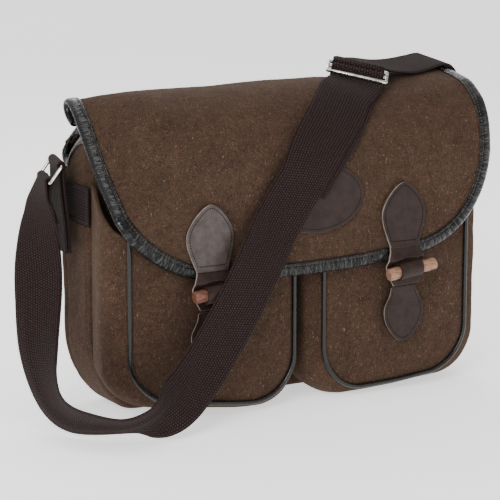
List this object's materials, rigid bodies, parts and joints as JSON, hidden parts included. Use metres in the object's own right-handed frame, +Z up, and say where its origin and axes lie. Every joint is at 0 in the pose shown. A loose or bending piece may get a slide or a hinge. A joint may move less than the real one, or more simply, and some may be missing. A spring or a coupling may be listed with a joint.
{
  "type": "hunting game bag",
  "caption": "Hunting game bag of wool felt with a bound flap, two bellows pockets with toggle closures and a webbing shoulder strap.",
  "frame": {"origin": "centre of the body's flat bottom", "axes": "+Z up through the mouth, -Y out of the front with the flap and pockets, +X to the right as the front is faced"},
  "size_m": [0.4992, 0.2001, 0.329],
  "materials": {
    "wool_felt": "matt",
    "black_leather": "glossy",
    "brown_leather": "satin",
    "webbing": "matt",
    "wood": "satin",
    "nickel": "polished"
  },
  "bodies": {
    "root": {"body": "wool_felt", "flap": "wool_felt", "flap_binding": "black_leather", "label_patch": "brown_leather", "left_flap_tab": "brown_leather", "left_pocket": "wool_felt", "left_pocket_piping": "black_leather", "left_pocket_tab": "brown_leather", "left_ring": "nickel", "left_ring_tab": "webbing", "left_side_patch": "webbing", "left_toggle": "wood", "mouth_binding": "black_leather", "right_flap_tab": "brown_leather", "right_pocket": "wool_felt", "right_pocket_piping": "black_leather", "right_pocket_tab": "brown_leather", "right_ring": "nickel", "right_ring_tab": "webbing", "right_side_patch": "webbing", "right_toggle": "wood", "short_strap": "webbing", "shoulder_strap": "webbing", "strap_slider": "nickel"}
  },
  "joints": []
}
